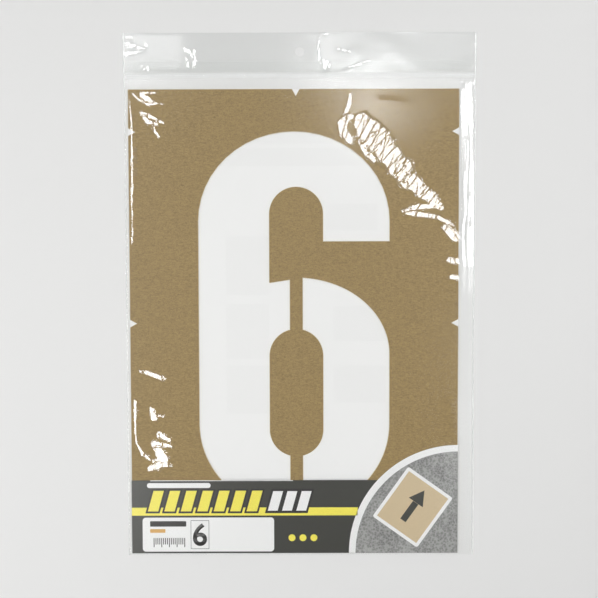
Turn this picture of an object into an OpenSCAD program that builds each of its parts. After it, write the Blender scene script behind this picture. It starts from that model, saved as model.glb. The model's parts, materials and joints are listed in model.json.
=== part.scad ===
// Road marking stencil of the numeral 6, packed flat in its film bag with a hanging header.
// The pack lies on its back: X runs across it, +Y points to the header, +Z is the front.
// The origin is the middle of the footprint, on the surface that the pack lies on.
// All sizes are in millimetres.

/* [Stencil card] */
// Width of the card
card_w = 297; // [250:1:420]
// Length of the card
card_l = 420; // [390:1:594]
// Thickness of the card
card_t = 1; // [0.5:0.1:2]
// Depth of a guide notch in the card's edge
notch_depth = 6; // [2:0.5:10]
// Width of a guide notch at the card's edge
notch_w = 6.6; // [2:0.2:12]

/* [Numeral] */
// Width of the numeral
digit_w = 172; // [140:1:230]
// Height of the numeral
digit_h = 344; // [320:1:370]
// Rise of the rounded ends above the straight sides
end_rise = 80; // [60:1:100]
// Stroke between the top of the numeral and the upper counter
top_stroke = 49; // [35:1:60]
// Stroke between the lower counter and the foot of the numeral
foot_stroke = 50.5; // [35:0.5:60]
// Width of the two counters
counter_w = 49; // [30:1:60]
// Sideways shift of the counters and bridges from the middle of the card
counter_shift = 2; // [-6:0.5:6]
// Height of the bowl, from the foot of the numeral
bowl_h = 213; // [190:1:225]
// Rise of the round shoulder of the bowl
bowl_rise = 69; // [50:1:80]
// Stroke between the top of the bowl and the lower counter
bowl_stroke = 46; // [35:1:60]
// Fall of the shoulder on the stem's side, for each millimetre across
shoulder_slope = 0.15; // [0:0.01:0.3]
// Gap between the bowl and the end of the upper stroke
mouth_gap = 33; // [20:1:40]
// Width of the two bridges that hold the lower counter
bridge_w = 12; // [6:0.5:20]

/* [Printed insert] */
// Thickness of the paper
paper_t = 0.2; // [0.1:0.05:0.4]
// Height of the label that is folded up over the front of the card
label_h = 67; // [40:0.5:140]
// Radius of the round field at the label's right end
label_r = 99; // [60:1:140]

/* [Film bag] */
// Thickness of the film
film_t = 0.05; // [0.03:0.01:0.1]
// Slack between the card and the left seam
left_slack = 2.5; // [1:0.5:20]
// Slack between the card and the right seam
right_slack = 13.5; // [1:0.5:20]
// Slack between the card and the bottom fold
bottom_slack = 2; // [1:0.5:20]
// Slack between the card and the mouth of the bag
top_slack = 9; // [1:0.5:30]
// Width of the film pressed flat at the bottom fold and at the header's top
fold_w = 0.5; // [0.3:0.1:2]
// Width of a fused side seam
seam_w = 1; // [0.5:0.1:3]
// Thickness of a fused side seam at its outer bead
seam_t = 0.2; // [0.15:0.05:0.5]

/* [Header] */
// Width of the weld under the header
weld_w = 5; // [3:0.5:8]
// Length of the header above the weld
header_l = 35.5; // [30:0.5:50]
// Gap between the two plies of the header
ply_gap = 0.05; // [0.03:0.01:0.2]
// Diameter of the hang hole
hang_hole_d = 8; // [5:0.5:10]
// Distance from the top of the header to the middle of the hang hole
hang_hole_drop = 17; // [10:0.5:20]
// Pitch of the knurl on the weld
knurl_pitch = 2.75; // [2:0.25:5]
// Side of one raised dot of the knurl
knurl_dot = 1.2; // [0.6:0.1:1.8]
// Height of one raised dot of the knurl
knurl_h = 0.05; // [0.02:0.01:0.1]

/* [Closing lip] */
// Distance from the lip's free edge to the hang hole
lip_clear = 1.5; // [0.5:0.5:5]
// Width of the adhesive strip
adhesive_w = 8; // [4:0.5:10]
// Thickness of the adhesive strip
adhesive_t = 0.05; // [0.03:0.01:0.1]
// Distance from the adhesive strip to the lip's free edge
adhesive_inset = 2.5; // [1:0.5:4]
// Distance from the adhesive strip to the lip's ends
adhesive_end = 4; // [1:0.5:10]

/* [Fits] */
// Air between two layers that slide on each other
layer_gap = 0.1; // [0.05:0.05:0.3]

/* [Hidden] */

// Facets of a full circle
$fn = 96;
// Points along one rounded end of the numeral
end_steps = 24;
// Overshoot of a cutting solid
cut = 1;

// Footprint of the bag
bag_w = card_w + left_slack + right_slack + 2 * seam_w;
bag_l = fold_w + bottom_slack + card_l + top_slack + weld_w + header_l;
x_left = -bag_w / 2;
x_right = bag_w / 2;
y_bottom = -bag_l / 2;
y_top = bag_l / 2;
pocket_left = x_left + seam_w;
pocket_right = x_right - seam_w;

// The card in the bag
card_left = pocket_left + left_slack;
card_right = card_left + card_w;
card_bottom = y_bottom + fold_w + bottom_slack;
card_x = (card_left + card_right) / 2;
card_y = card_bottom + card_l / 2;

// Lines across the bag, from its bottom fold up
fold_y = y_bottom + fold_w;
insert_bottom = card_bottom - layer_gap;
ramp_y = insert_bottom - paper_t;
mouth_y = card_bottom + card_l + top_slack;
hinge_y = mouth_y + weld_w;
hang_hole_y = y_top - hang_hole_drop;
lip_y = hang_hole_y - hang_hole_d / 2 - lip_clear;

// Undersides of the layers, from the back up
insert_z = film_t + adhesive_t + layer_gap;
card_z = insert_z + paper_t + layer_gap;
label_z = card_z + card_t + layer_gap;
header_z = label_z + paper_t + layer_gap;
front_z = header_z + film_t + ply_gap;
front_top = front_z + film_t;

// The numeral, about the middle of the card
digit_side = digit_w / 2;
digit_top = digit_h / 2;
end_y = digit_top - end_rise;
counter_r = counter_w / 2;
counter_left = counter_shift - counter_r;
counter_right = counter_shift + counter_r;
bridge_left = counter_shift - bridge_w / 2;
bridge_right = counter_shift + bridge_w / 2;
bowl_top = bowl_h - digit_top;
bowl_y = bowl_top - bowl_rise;
bowl_side = digit_side - counter_shift;
terminal_y = bowl_top + mouth_gap;
upper_counter_y = digit_top - top_stroke - counter_r;
island_top_y = bowl_top - bowl_stroke - counter_r;
island_bottom_y = foot_stroke + counter_r - digit_top;
bowl_at_bridge = bowl_y + bowl_rise * sqrt(1 - pow((bridge_right - counter_shift) / bowl_side, 2));

kraft = [0.61, 0.53, 0.38];
paper = [0.93, 0.93, 0.92];
print_grey = [0.3, 0.3, 0.29];
film = [0.84, 0.87, 0.9];
weld_white = [0.95, 0.96, 0.97];
adhesive = [0.8, 0.84, 0.86];

// Points of an elliptical arc, from angle a0 to angle a1
function arc(x, y, rx, ry, a0, a1) = [
  for (i = [0:end_steps])
    let (a = a0 + (a1 - a0) * i / end_steps)
      [x + rx * cos(a), y + ry * sin(a)]
];

// Angle at which an arc centred on x with half width rx passes a given place across
function passing(place, x, rx) = acos((place - x) / rx);

// Height of the stem's shoulder, which falls away from the bowl's top
function shoulder(x) = bowl_at_bridge - shoulder_slope * (bridge_right - x);

// Opening of the upper stroke, the stem and the left half of the bowl
function left_opening() = concat(
  arc(0, end_y, digit_side, end_rise, 180, 0),
  [[digit_side, terminal_y], [counter_right, terminal_y]],
  arc(counter_shift, upper_counter_y, counter_r, counter_r, 0, 180),
  [[counter_left, shoulder(counter_left)], [bridge_left, shoulder(bridge_left)]],
  arc(counter_shift, island_top_y, counter_r, counter_r,
      passing(bridge_left, counter_shift, counter_r), 180),
  arc(counter_shift, island_bottom_y, counter_r, counter_r,
      180, 360 - passing(bridge_left, counter_shift, counter_r)),
  arc(0, -end_y, digit_side, end_rise, 360 - passing(bridge_left, 0, digit_side), 180)
);

// Opening of the right half of the bowl
function right_opening() = concat(
  arc(counter_shift, bowl_y, bowl_side, bowl_rise,
      passing(bridge_right, counter_shift, bowl_side), 0),
  arc(0, -end_y, digit_side, end_rise, 0, -passing(bridge_right, 0, digit_side)),
  arc(counter_shift, island_bottom_y, counter_r, counter_r,
      -passing(bridge_right, counter_shift, counter_r), 0),
  arc(counter_shift, island_top_y, counter_r, counter_r,
      0, passing(bridge_right, counter_shift, counter_r))
);

// Section across the pocket of the bag, with its films lifted by some height
function across(base, lift) = [
  [pocket_left, base], [pocket_left, film_t + lift],
  [card_left, front_z + lift], [card_right, front_z + lift],
  [pocket_right, film_t + lift], [pocket_right, base]
];

// Section along the pocket of the bag, from the bottom fold to its open end
function along(base, lift, end) = [
  [y_bottom, base], [y_bottom, film_t + lift], [fold_y, film_t + lift],
  [ramp_y, front_z + lift], [end, front_z + lift], [end, base]
];

// A box between two corners
module block(low, high) {
  translate(low) cube(high - low);
}

// A pillow-shaped solid as wide as the pocket
module pocket(base, lift, end) {
  intersection() {
    translate([0, end, 0]) rotate([90, 0, 0])
      linear_extrude(end - y_bottom) polygon(across(base, lift));
    translate([x_left, 0, 0]) rotate([90, 0, 90])
      linear_extrude(bag_w) polygon(along(base, lift, end));
  }
}

// Film of the bag's front, which falls to the seams and the bottom fold round the card
module front_film() {
  difference() {
    pocket(film_t, film_t, mouth_y);
    pocket(0, 0, mouth_y + cut);
  }
}

// The stretch of the front film between two places across and along the bag
module front_film_between(x0, x1, y0, y1) {
  intersection() {
    front_film();
    block([x0, y0, 0], [x1, y1, front_top + cut]);
  }
}

module bag_front_panel() {
  color(film) front_film_between(card_left, card_right, ramp_y, mouth_y);
}

module bag_left_margin() {
  color(film) front_film_between(x_left, card_left, ramp_y, mouth_y);
}

module bag_right_margin() {
  color(film) front_film_between(card_right, x_right, ramp_y, mouth_y);
}

module bag_bottom_fold() {
  color(film) front_film_between(x_left, x_right, y_bottom, ramp_y);
}

module bag_back_panel() {
  color(film) block([pocket_left, y_bottom, 0], [pocket_right, mouth_y, film_t]);
}

// Fused edge of the bag's two films, thicker at its outer bead
module side_seam() {
  translate([0, mouth_y, 0]) rotate([90, 0, 0])
    linear_extrude(mouth_y - y_bottom)
      polygon([[x_left, 0], [pocket_left, 0], [pocket_left, 2 * film_t], [x_left, seam_t]]);
}

module left_side_seam() {
  color(weld_white) side_seam();
}

module right_side_seam() {
  color(weld_white) mirror([1, 0, 0]) side_seam();
}

// Welded band with its row of knurled dots
module header_weld() {
  dots = floor((bag_w - knurl_dot) / knurl_pitch);
  color(weld_white) {
    block([x_left, mouth_y, header_z], [x_right, hinge_y, front_top]);
    translate([0, mouth_y + weld_w / 2, front_top])
      linear_extrude(knurl_h)
        for (i = [0:dots])
          translate([(i - dots / 2) * knurl_pitch, 0]) square(knurl_dot, center = true);
  }
}

// Solid that punches the hang hole through the header
module hang_hole() {
  translate([0, hang_hole_y, header_z - cut])
    cylinder(d = hang_hole_d, h = front_top - header_z + 2 * cut);
}

module header_front_ply() {
  color(film) difference() {
    block([pocket_left, hinge_y, front_z], [pocket_right, y_top, front_top]);
    hang_hole();
  }
}

// Back ply of the header, with the fold that joins it to the front ply
module header_back_ply() {
  color(film) difference() {
    union() {
      block([pocket_left, hinge_y, header_z], [pocket_right, y_top, header_z + film_t]);
      block([pocket_left, y_top - fold_w, header_z], [pocket_right, y_top, front_z]);
    }
    hang_hole();
  }
}

// Fused edge of the header's two plies
module header_seam() {
  block([x_left, hinge_y, header_z], [pocket_left, y_top, front_top]);
}

module header_left_seam() {
  color(weld_white) header_seam();
}

module header_right_seam() {
  color(weld_white) mirror([1, 0, 0]) header_seam();
}

// Lip of the back film, which closes the mouth behind the header
module closing_lip() {
  color(film) block([x_left, mouth_y, 0], [x_right, lip_y, film_t]);
}

module adhesive_strip() {
  strip_y = lip_y - adhesive_inset;
  color(adhesive)
    block([x_left + adhesive_end, strip_y - adhesive_w, film_t],
          [x_right - adhesive_end, strip_y, film_t + adhesive_t]);
}

// A guide notch that points down from the middle of a card's upper edge
module notch() {
  polygon([[-notch_w / 2, 0], [0, -notch_depth], [notch_w / 2, 0], [0, cut]]);
}

// Guide notches on the numeral's top, middle and foot lines, and on the bridges' line
module guide_notches() {
  for (side = [-1, 1]) {
    for (line = [-digit_top, 0, digit_top])
      translate([side * card_w / 2, line]) rotate(-90 * side) notch();
    translate([counter_shift, side * card_l / 2]) rotate(90 - 90 * side) notch();
  }
}

// Die-cut card with the numeral in two openings, held together by two bridges
module stencil_card() {
  color(kraft) translate([card_x, card_y, card_z])
    linear_extrude(card_t) difference() {
      square([card_w, card_l], center = true);
      polygon(left_opening());
      polygon(right_opening());
      guide_notches();
    }
}

module insert_back_sheet() {
  color(paper)
    block([card_left, insert_bottom, insert_z],
          [card_right, card_bottom + card_l, insert_z + paper_t]);
}

// Fold of the insert round the card's bottom edge, creased at the back and at the front
module insert_fold() {
  low = insert_z;
  high = label_z + paper_t;
  color(print_grey) translate([card_left, 0, 0]) rotate([90, 0, 90])
    linear_extrude(card_w)
      polygon([[insert_bottom, low], [insert_bottom, high], [ramp_y + paper_t / 2, high],
               [ramp_y, high - paper_t / 2], [ramp_y, low + paper_t / 2],
               [ramp_y + paper_t / 2, low]]);
}

// Printed label with a straight top and a round field that rises at its right end
module front_label() {
  color(print_grey) translate([card_left, insert_bottom, label_z])
    linear_extrude(paper_t) {
      square([card_w, label_h]);
      intersection() {
        translate([card_w, 0]) circle(label_r);
        square([card_w, card_l]);
      }
    }
}

bag_front_panel();
bag_back_panel();
bag_left_margin();
bag_right_margin();
bag_bottom_fold();
left_side_seam();
right_side_seam();
header_weld();
header_front_ply();
header_back_ply();
header_left_seam();
header_right_seam();
closing_lip();
adhesive_strip();
stencil_card();
insert_back_sheet();
insert_fold();
front_label();
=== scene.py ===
import json
import math
from functools import reduce

import bmesh
import bpy
import numpy as np
from bpy.props import FloatProperty, FloatVectorProperty, PointerProperty
from mathutils import Matrix, Vector


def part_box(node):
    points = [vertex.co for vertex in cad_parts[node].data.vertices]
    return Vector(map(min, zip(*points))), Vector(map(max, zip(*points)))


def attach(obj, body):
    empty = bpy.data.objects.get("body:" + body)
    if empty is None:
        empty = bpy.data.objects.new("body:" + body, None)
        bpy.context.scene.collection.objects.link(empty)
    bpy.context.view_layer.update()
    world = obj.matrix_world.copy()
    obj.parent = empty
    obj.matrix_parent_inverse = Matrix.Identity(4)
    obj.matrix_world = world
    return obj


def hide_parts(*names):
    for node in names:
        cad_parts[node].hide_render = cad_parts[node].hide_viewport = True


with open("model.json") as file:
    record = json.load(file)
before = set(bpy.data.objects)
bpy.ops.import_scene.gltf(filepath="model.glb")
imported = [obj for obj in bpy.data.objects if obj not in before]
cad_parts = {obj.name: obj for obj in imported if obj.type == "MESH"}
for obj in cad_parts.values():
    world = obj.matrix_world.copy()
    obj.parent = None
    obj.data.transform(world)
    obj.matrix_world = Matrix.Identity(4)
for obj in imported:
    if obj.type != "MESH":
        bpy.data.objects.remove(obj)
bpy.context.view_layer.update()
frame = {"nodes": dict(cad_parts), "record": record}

bl_info = {
    "name": "Packed road marking stencil",
    "version": (1, 0, 0),
    "blender": (4, 5, 0),
    "location": "3D View > Sidebar > Stencil",
    "description": "Dresses the packed stencil: kraft card, printed insert and clear film bag",
    "category": "Object",
}

MM = 0.001

# Corners of the solids that the pieces are set against, in metres
CARD_LOW, CARD_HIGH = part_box("stencil_card")
LABEL_LOW, LABEL_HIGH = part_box("front_label")
POCKET_LOW, POCKET_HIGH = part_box("bag_back_panel")
FRONT_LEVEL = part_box("bag_front_panel")[0].z
WELD_LOW, WELD_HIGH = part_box("header_weld")
PLY_LOW, PLY_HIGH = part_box("header_front_ply")
BACK_PLY_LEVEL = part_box("header_back_ply")[0].z
LIP_LOW, LIP_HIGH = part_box("closing_lip")
SEAM_LOW, SEAM_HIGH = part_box("left_side_seam")
# Middle and radius of the hang hole, in metres
HANG_HOLE = next(m for m in frame["record"]["mounts"] if m["name"] == "hang_hole")
HOLE_X, HOLE_Y = HANG_HOLE["pos_m"][:2]
HOLE_RADIUS = HANG_HOLE["dims"]["r_mm"] * MM


def srgb(red, green, blue):
    """Linear colour of an sRGB colour given from 0 to 255."""
    def linear(value):
        part = value / 255
        return part / 12.92 if part <= 0.04045 else ((part + 0.055) / 1.055) ** 2.4
    return linear(red), linear(green), linear(blue)


def colour(label, told, value):
    """Property of a colour that a user may change."""
    return FloatVectorProperty(name=label, description=told, default=value,
                               size=3, min=0, max=1, subtype="COLOR")


def share(label, told, value, most=1.0):
    """Property of a plain factor."""
    return FloatProperty(name=label, description=told, default=value, min=0, max=most)


def length(label, told, value):
    """Property of a length, given in millimetres."""
    return FloatProperty(name=label, description=told, default=value * MM,
                         min=0, unit="LENGTH", precision=5)


class CardSettings(bpy.types.PropertyGroup):
    """Finish of the kraft card"""
    kraft: colour("Kraft", "Colour of the card's faces", srgb(162, 135, 74))
    dark_fibre: colour("Dark fibre", "Colour of the darkest fibres", srgb(121, 96, 46))
    # The cut edges' pale cream is a painted highlight: a bright line painted along every die-cut edge
    cut: colour("Cut edge highlight", "Colour of the die-cut edges", srgb(226, 216, 196))
    mottle: share("Mottle", "How much the fibres vary the colour", 0.8)
    edge: length("Edge", "Rounding of the die-cut edges", 0.35)


class PaperSettings(bpy.types.PropertyGroup):
    """Finish of the printed insert"""
    white: colour("White", "Colour of the bare paper", srgb(240, 240, 239))
    shadow: colour("Show-through", "Colour of the paper over the print on its back",
                   srgb(231, 231, 230))
    dark: colour("Dark ink", "Colour of the label's ground", srgb(53, 53, 47))
    yellow: colour("Yellow ink", "Colour of the label's stripe", srgb(243, 231, 88))
    orange: colour("Orange ink", "Colour of the tag on the panel", srgb(214, 166, 84))
    tan: colour("Tan ink", "Colour of the printed card", srgb(205, 185, 150))
    asphalt: colour("Asphalt ink", "Colour of the printed road", srgb(132, 132, 130))
    black: colour("Black ink", "Colour of the numeral and the bars", srgb(38, 36, 34))
    ink: length("Ink", "Thickness of one layer of ink", 0.02)


class FilmSettings(bpy.types.PropertyGroup):
    """Finish and wrinkles of the clear film"""
    tint: colour("Tint", "Colour of what is seen through one face of the film",
                 (0.995, 0.996, 0.995))
    header_tint: colour("Header tint", "Colour of what is seen through one face of the header",
                        (0.976, 0.978, 0.977))
    fused: colour("Fused film", "Colour of the melted seams and the weld", (0.86, 0.88, 0.88))
    thickness: length("Thickness", "Thickness of the film", 0.05)
    gloss: share("Gloss", "Gain of the reflection where the film is smooth", 0.5, 6)
    crushed_gloss: share("Crushed gloss", "Gain of the reflection where the film is crushed", 2.6, 6)
    lying_gloss: share("Lying gloss", "Gain where film lies on the table or on other film", 0.18, 6)
    roughness: share("Roughness", "Roughness of the film's surface", 0.16)
    wrinkles: share("Wrinkles", "Height of the wrinkles", 1.0, 2)
    crinkle: share("Crinkle", "Depth of the fine crinkle", 0.25, 2)


class StageSettings(bpy.types.PropertyGroup):
    """Table, lamps and surroundings"""
    table: colour("Table", "Colour of the table", srgb(226, 226, 225))
    key: share("Key lamp", "Brightness of the soft lamp on the right", 2.4, 50)
    fill: share("Fill lamp", "Brightness of the soft lamp on the left", 2.85, 50)
    glint: share("Glint", "Brightness of the lamps that only the film mirrors", 12.0, 50)
    sheen: share("Sheen", "Brightness of the pale patches that the film mirrors", 8.0, 50)
    horizon: share("Horizon", "Brightness of the pale surroundings", 0.6)
    zenith: share("Zenith", "Brightness straight above the pack", 0.18)
    backdrop: share("Backdrop", "Brightness of the backdrop behind the table", 0.76)


# Nodes and materials

def put(tree, kind, values=None, **settings):
    """Adds a node, sets its options, and sets or links its inputs."""
    made = tree.nodes.new(kind)
    for key, value in settings.items():
        setattr(made, key, value)
    for key, value in (values or {}).items():
        if isinstance(value, bpy.types.NodeSocket):
            tree.links.new(value, made.inputs[key])
        else:
            made.inputs[key].default_value = value
    return made


def opaque(value):
    """Colour with an alpha of one."""
    return (*value, 1.0)


def math_node(tree, operation, *values, clamp=False):
    """Result of a sum of up to three values."""
    return put(tree, "ShaderNodeMath", dict(enumerate(values)), operation=operation,
               use_clamp=clamp).outputs[0]


def mix_colour(tree, factor, first, second):
    """Mix of two colours by a mask."""
    return put(tree, "ShaderNodeMix", {0: factor, 6: first, 7: second}, data_type="RGBA").outputs[2]


def own_place(tree):
    """Place on a piece, in its own coordinates."""
    return put(tree, "ShaderNodeTexCoord").outputs["Object"]


def material(name):
    """Empty node material, with its tree and its output."""
    made = bpy.data.materials.new(name)
    made.use_nodes = True
    made.node_tree.nodes.clear()
    return made, made.node_tree, put(made.node_tree, "ShaderNodeOutputMaterial")


def group(name, inputs, outputs):
    """Empty node group with plain value sockets, with its ends."""
    tree = bpy.data.node_groups.new(name, "ShaderNodeTree")
    for label, value in inputs:
        socket = tree.interface.new_socket(label, in_out="INPUT", socket_type="NodeSocketFloat")
        socket.default_value = value
    for label in outputs:
        tree.interface.new_socket(label, in_out="OUTPUT", socket_type="NodeSocketFloat")
    return tree, put(tree, "NodeGroupInput"), put(tree, "NodeGroupOutput")


def noise(tree, where, scale, detail=2.0, roughness=0.5):
    """Plain noise from 0 to 1, with its scale per metre."""
    return put(tree, "ShaderNodeTexNoise", {"Vector": where, "Scale": scale, "Detail": detail,
                                            "Roughness": roughness}).outputs["Fac"]


def fibre_group():
    """Pulp of card and paper: clouds, short fibres and their relief."""
    tree, given, out = group("Pulp fibres", [("Grain", 900.0)], ["Cloud", "Fibre", "Relief"])
    where = own_place(tree)
    cloud = noise(tree, where, 330.0, detail=4.0, roughness=0.7)
    grain = noise(tree, where, given.outputs["Grain"], detail=3.0, roughness=0.7)
    strands = []
    for turn in (0.4, 1.9):
        laid = put(tree, "ShaderNodeMapping", {"Vector": where, "Rotation": (0, 0, turn),
                                               "Scale": (260.0, 1500.0, 900.0)})
        strands.append(noise(tree, laid.outputs[0], 1.0, roughness=0.6))
    strand = math_node(tree, "MAXIMUM", *strands)
    fibre = math_node(tree, "MULTIPLY_ADD", strand, 0.5, math_node(tree, "MULTIPLY", grain, 0.5))
    tree.links.new(cloud, out.inputs["Cloud"])
    tree.links.new(fibre, out.inputs["Fibre"])
    tree.links.new(grain, out.inputs["Relief"])
    return tree


def crinkle_group():
    """Fine crinkle of crushed film."""
    tree, given, out = group("Film crinkle", [("Scale", 260.0)], ["Height"])
    where = own_place(tree)
    bent = put(tree, "ShaderNodeTexNoise", {"Vector": where, "Scale": 90.0, "Detail": 1.0})
    pushed = put(tree, "ShaderNodeVectorMath", {0: bent.outputs["Color"], 1: (0.012,) * 3, 2: where},
                 operation="MULTIPLY_ADD")
    cells = put(tree, "ShaderNodeTexVoronoi", {"Vector": pushed.outputs[0],
                                               "Scale": given.outputs["Scale"]},
                feature="DISTANCE_TO_EDGE")
    fine = noise(tree, where, 700.0)
    height = math_node(tree, "MULTIPLY_ADD", fine, 0.25, cells.outputs["Distance"])
    tree.links.new(height, out.inputs["Height"])
    return tree


def ink_group():
    """Grain of printed ink."""
    tree, given, out = group("Ink grain", [("Scale", 1400.0)], ["Grain", "Relief"])
    where = own_place(tree)
    grain = noise(tree, where, given.outputs["Scale"], roughness=0.6)
    tree.links.new(grain, out.inputs["Grain"])
    tree.links.new(noise(tree, where, 500.0), out.inputs["Relief"])
    return tree


# Sides of a printed box, and how strongly print shows through the paper
BOX_SIDES = ("Left", "Right", "Bottom", "Top")
SHOW_THROUGH = 0.3


def box_group():
    """Mask of an upright rectangle in the plane of the sheet."""
    tree, given, out = group("Printed box", [(side, 0.0) for side in BOX_SIDES], ["Mask"])
    where = own_place(tree)
    place = put(tree, "ShaderNodeSeparateXYZ", {0: where})
    passed = [math_node(tree, test, place.outputs[axis], given.outputs[side])
              for side, axis, test in zip(BOX_SIDES, (0, 0, 1, 1), ("GREATER_THAN", "LESS_THAN") * 2)]
    mask = reduce(lambda first, second: math_node(tree, "MULTIPLY", first, second), passed)
    tree.links.new(mask, out.inputs["Mask"])
    return tree


# Node groups that are already built, by the function that builds them
GROUPS = {}


def placed(tree, maker, values=None):
    """A node that holds one of the groups, which is built at its first use."""
    if maker not in GROUPS:
        GROUPS[maker] = maker()
    return put(tree, "ShaderNodeGroup", values, node_tree=GROUPS[maker])


def relief(tree, height, strength, distance):
    """Normal of a surface with fine relief."""
    return put(tree, "ShaderNodeBump", {"Height": height, "Strength": strength,
                                        "Distance": distance}).outputs[0]


def pulp_material(name, pale, dark, strength, roughness, grain, boxes=()):
    """Card or paper with fibres, and with printed boxes that show faintly in the dark colour."""
    made, tree, out = material(name)
    fibres = placed(tree, fibre_group, {"Grain": grain})
    spread = put(tree, "ShaderNodeMapRange", {"Value": fibres.outputs["Fibre"],
                                              "From Min": 0.42, "From Max": 0.72})
    mask = math_node(tree, "MULTIPLY", spread.outputs[0], strength)
    cloudy = put(tree, "ShaderNodeMapRange", {"Value": fibres.outputs["Cloud"], "From Min": 0.3,
                                              "From Max": 0.7, "To Max": 0.5 * strength})
    both = math_node(tree, "ADD", mask, cloudy.outputs[0], clamp=True)
    tone = mix_colour(tree, both, opaque(pale), opaque(dark))
    if boxes:
        masks = [placed(tree, box_group, dict(zip(BOX_SIDES, box))).outputs[0] for box in boxes]
        printed = reduce(lambda first, second: math_node(tree, "MAXIMUM", first, second), masks)
        tone = mix_colour(tree, math_node(tree, "MULTIPLY", printed, SHOW_THROUGH), tone, opaque(dark))
    shader = put(tree, "ShaderNodeBsdfPrincipled", {
        "Base Color": tone,
        "Roughness": roughness,
        "Normal": relief(tree, fibres.outputs["Relief"], strength=0.25, distance=0.00005)})
    tree.links.new(shader.outputs[0], out.inputs["Surface"])
    return made


# Roughness of printed ink
SATIN = 0.42


def ink_material(name, value, variation=0.12):
    """Printed ink with a faint grain and a satin face."""
    made, tree, out = material(name)
    grain = placed(tree, ink_group)
    darker = tuple(part * (1 - variation) for part in value)
    paler = tuple(min(1.0, part * (1 + variation)) for part in value)
    spread = put(tree, "ShaderNodeMapRange", {"Value": grain.outputs["Grain"],
                                              "From Min": 0.3, "From Max": 0.7})
    shader = put(tree, "ShaderNodeBsdfPrincipled", {
        "Base Color": mix_colour(tree, spread.outputs[0], opaque(darker), opaque(paler)),
        "Roughness": SATIN,
        "Normal": relief(tree, grain.outputs["Relief"], strength=0.1, distance=0.00002)})
    tree.links.new(shader.outputs[0], out.inputs["Surface"])
    return made


def road_material(value):
    """Printed picture of asphalt: pale and dark stones."""
    made, tree, out = material("Printed asphalt")
    where = own_place(tree)
    stones = put(tree, "ShaderNodeTexVoronoi", {"Vector": where, "Scale": 520.0})
    speck = put(tree, "ShaderNodeMapRange", {"Value": stones.outputs["Distance"],
                                             "From Min": 0.15, "From Max": 0.75})
    cloud = noise(tree, where, 45.0, detail=3.0)
    mixed = math_node(tree, "MULTIPLY_ADD", cloud, 0.55,
                      math_node(tree, "MULTIPLY", speck.outputs[0], 0.5))
    dark = tuple(part * 0.35 for part in value)
    pale = tuple(min(1.0, part * 1.9) for part in value)
    shader = put(tree, "ShaderNodeBsdfPrincipled", {
        "Base Color": mix_colour(tree, mixed, opaque(dark), opaque(pale)), "Roughness": SATIN})
    tree.links.new(shader.outputs[0], out.inputs["Surface"])
    return made


# Refraction of the film, and depth of its deepest crinkle in metres
FILM_IOR = 1.5
CRINKLE_DEPTH = 0.0004


def film_material(name, settings, gloss, body=0.0, tint=None):
    """Clear film that mirrors its surroundings on its outer faces, and may have a milky body."""
    made, tree, out = material(name)
    crinkle = placed(tree, crinkle_group)
    crushed = put(tree, "ShaderNodeAttribute", attribute_name="crinkle").outputs["Fac"]
    bump = relief(tree, crinkle.outputs["Height"],
                  math_node(tree, "MULTIPLY", crushed, settings.crinkle), CRINKLE_DEPTH)
    mirror = put(tree, "ShaderNodeBsdfGlossy", {"Roughness": settings.roughness, "Normal": bump})
    clear = put(tree, "ShaderNodeBsdfTransparent", {"Color": opaque(tint or settings.tint)})
    through = clear.outputs[0]
    if body:
        milky = put(tree, "ShaderNodeBsdfDiffuse", {"Color": opaque(settings.fused)})
        through = put(tree, "ShaderNodeMixShader", {0: body, 1: through,
                                                    2: milky.outputs[0]}).outputs[0]
    edge_on = put(tree, "ShaderNodeFresnel", {"IOR": FILM_IOR, "Normal": bump})
    gain = math_node(tree, "MULTIPLY", edge_on.outputs[0], gloss, clamp=True)
    inner = put(tree, "ShaderNodeNewGeometry").outputs["Backfacing"]
    outer = math_node(tree, "SUBTRACT", 1.0, inner)
    mixed = put(tree, "ShaderNodeMixShader", {0: math_node(tree, "MULTIPLY", gain, outer),
                                              1: through, 2: mirror.outputs[0]})
    tree.links.new(mixed.outputs[0], out.inputs["Surface"])
    return made


# Meshes

def mesh_object(name, bm, *materials):
    """Object at the origin that holds a bmesh, with its materials."""
    mesh = bpy.data.meshes.new(name)
    bm.to_mesh(mesh)
    bm.free()
    made = bpy.data.objects.new(name, mesh)
    bpy.context.scene.collection.objects.link(made)
    for each in materials:
        mesh.materials.append(each)
    return made


def refinish(node, finish):
    """Gives a solid of the frame its finish."""
    solid = frame["nodes"][node]
    solid.data.materials.clear()
    solid.data.materials.append(finish)


def shade_smooth(made):
    """Smooth shading over the whole piece."""
    made.data.polygons.foreach_set("use_smooth", [True] * len(made.data.polygons))


def thicken(made, thickness, offset=-1.0):
    """Gives a sheet its thickness."""
    wall = made.modifiers.new("Thickness", "SOLIDIFY")
    wall.thickness = thickness
    wall.offset = offset
    wall.use_even_offset = False


def clear_of_light(*films):
    """Films too clear to cast a shadow."""
    for film in films:
        film.visible_shadow = False


def step(edge_from, edge_to, value):
    """Smooth step from 0 at the first edge to 1 at the second."""
    part = np.clip((value - edge_from) / (edge_to - edge_from), 0.0, 1.0)
    return part * part * (3.0 - 2.0 * part)


def near_path(x, y, path):
    """Distance of every point to a path of straight runs, and its share of the path's length."""
    points = np.array(path, float)
    runs = np.diff(points, axis=0)
    lengths = np.hypot(runs[:, 0], runs[:, 1])
    starts = np.concatenate([[0.0], np.cumsum(lengths)])
    best = np.full(x.shape, np.inf)
    place = np.zeros(x.shape)
    for (px, py), (rx, ry), run, start in zip(points, runs, lengths, starts):
        along = np.clip(((x - px) * rx + (y - py) * ry) / run ** 2, 0.0, 1.0)
        away = np.hypot(x - px - along * rx, y - py - along * ry)
        closer = away < best
        best = np.where(closer, away, best)
        place = np.where(closer, (start + along * run) / starts[-1], place)
    return best, place


# Share of a fold's length over which it dies away at each end
FADING = 0.2


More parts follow.
